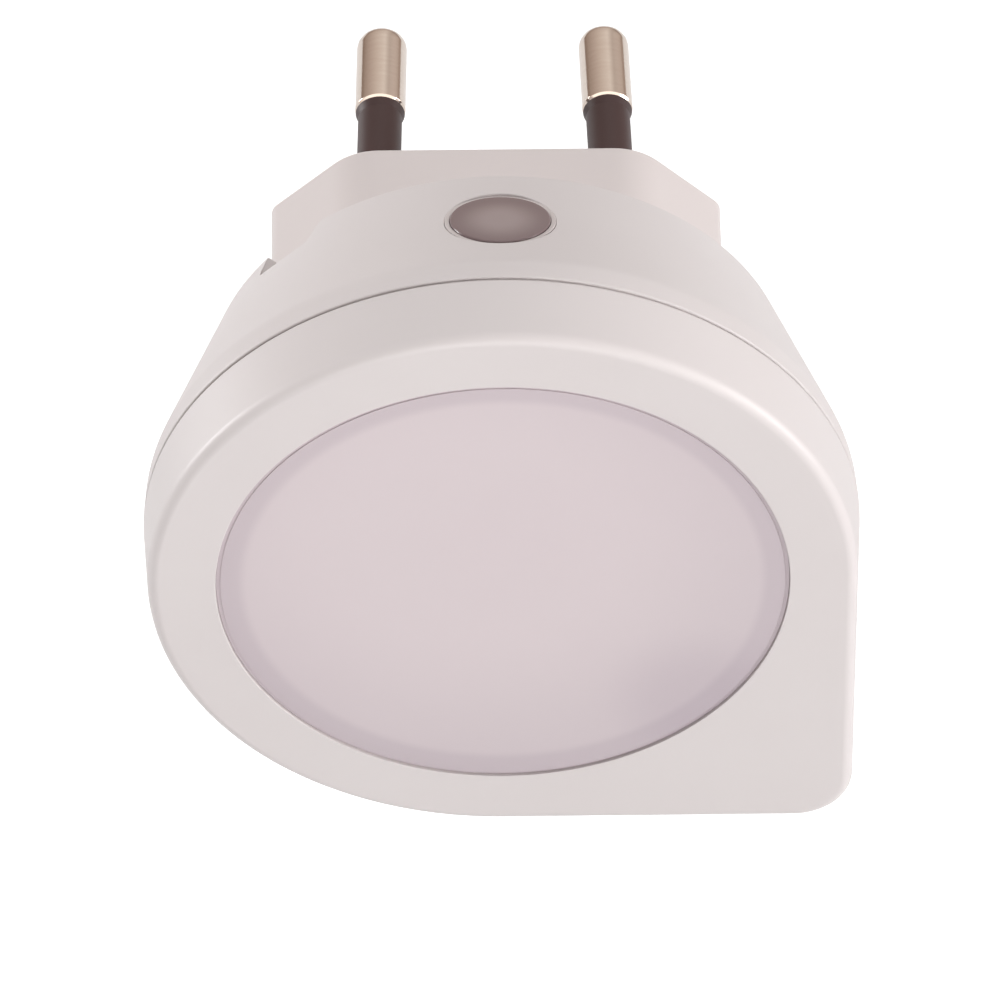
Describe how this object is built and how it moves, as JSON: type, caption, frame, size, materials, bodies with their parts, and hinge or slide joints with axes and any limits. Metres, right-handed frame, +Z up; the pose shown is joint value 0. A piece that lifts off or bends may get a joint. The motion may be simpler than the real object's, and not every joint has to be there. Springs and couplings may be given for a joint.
{
  "type": "night light",
  "caption": "Plug-in night light: round opal diffuser in a frame with a square corner, tapered housing with a light sensor window on top, flat mains plug with pins behind.",
  "frame": {"origin": "middle of the plug's engagement face, on the line between the two pins", "axes": "+X to the right as seen from the room, +Y into the wall socket along the pins, +Z up"},
  "size_m": [0.055, 0.0593, 0.055],
  "materials": {
    "housing": "moulded, satin gloss, warm white",
    "plug": "moulded, satin gloss, warm white",
    "diffuser": "opal, fine satin",
    "reflector": "bright white, moulded",
    "led_board": "white solder mask on glass fibre laminate",
    "led": "yellow phosphor in a white package",
    "driver_board": "paper phenolic laminate",
    "screw_steel": "zinc plated",
    "film_capacitor": "moulded case",
    "capacitor_sleeve": "shrink sleeve",
    "black_epoxy": "moulded epoxy",
    "resistor_lacquer": "lacquered",
    "contact_brass": "plated",
    "lead_insulation": "soft insulation",
    "sensor_window": "smoked, translucent",
    "sensor_bezel": "moulded, light grey",
    "photocell": "coated ceramic",
    "pin_metal": "polished nickel plate",
    "pin_sleeve": "moulded insulation"
  },
  "bodies": {
    "root": {"front_cover": "housing", "rear_housing": "housing", "plug_body": "plug", "diffuser": "diffuser", "reflector": "reflector", "led_board": "led_board", "leds": "led", "chip_resistors": "black_epoxy", "driver_board": "driver_board", "board_screws": "screw_steel", "film_capacitor": "film_capacitor", "electrolytic_capacitor": "capacitor_sleeve", "bridge_rectifier": "black_epoxy", "fusible_resistor": "resistor_lacquer", "bleed_resistor": "resistor_lacquer", "zener_diode": "black_epoxy", "transistor": "black_epoxy", "link_pins": "contact_brass", "link_header": "black_epoxy", "lead_left": "lead_insulation", "lead_right": "lead_insulation", "sensor_window": "sensor_window", "sensor_bezel": "sensor_bezel", "photocell": "photocell", "pin_left": "pin_metal", "pin_right": "pin_metal", "pin_sleeve_left": "pin_sleeve", "pin_sleeve_right": "pin_sleeve"}
  },
  "joints": []
}
